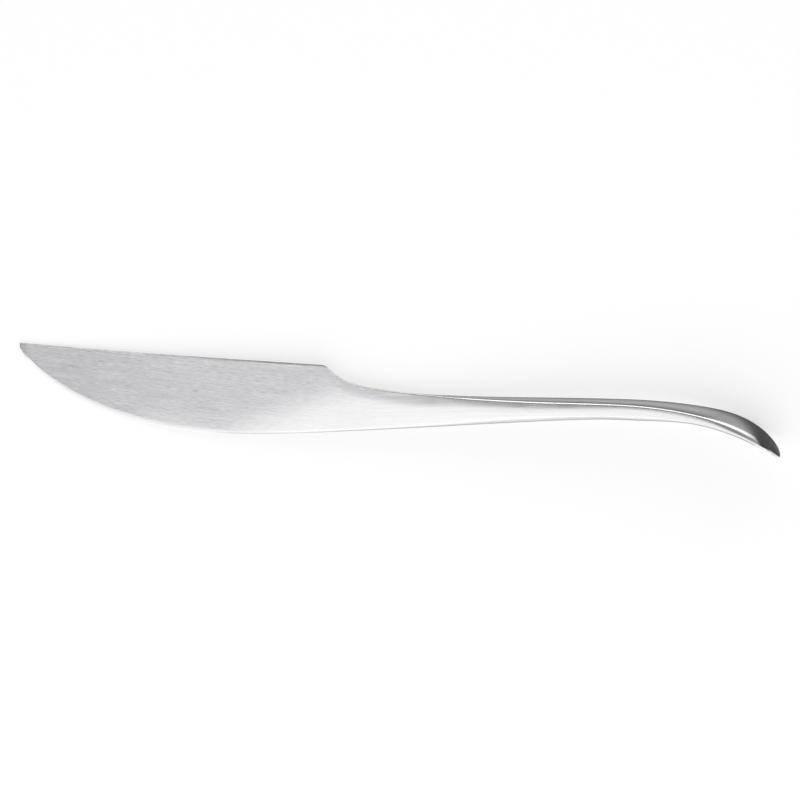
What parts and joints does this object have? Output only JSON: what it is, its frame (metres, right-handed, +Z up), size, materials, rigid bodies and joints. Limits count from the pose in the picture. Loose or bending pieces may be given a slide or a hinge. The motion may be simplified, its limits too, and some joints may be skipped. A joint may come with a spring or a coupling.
{
  "type": "table knife",
  "caption": "Slim stainless steel table knife with a curved brushed blade and a solid oval handle whose flat back widens into a turned-down tail.",
  "frame": {"origin": "on the surface that the knife lies on, under the middle of its bounding box", "axes": "+X from the blade's tip to the handle's tail, +Y towards the spine, +Z up out of the side of the knife that faces up"},
  "size_m": [0.205, 0.0326, 0.0124],
  "materials": {
    "blade_steel": "hardened stainless steel, finely brushed along the blade, with a brighter ground bevel at the edge",
    "braze_filler": "pale silver-bearing brazing alloy, ground flush with the steel",
    "handle_steel": "forged stainless steel, smooth satin polish with fine wear marks"
  },
  "bodies": {
    "root": {"blade": "blade_steel", "braze": "braze_filler", "handle": "handle_steel"}
  },
  "joints": []
}
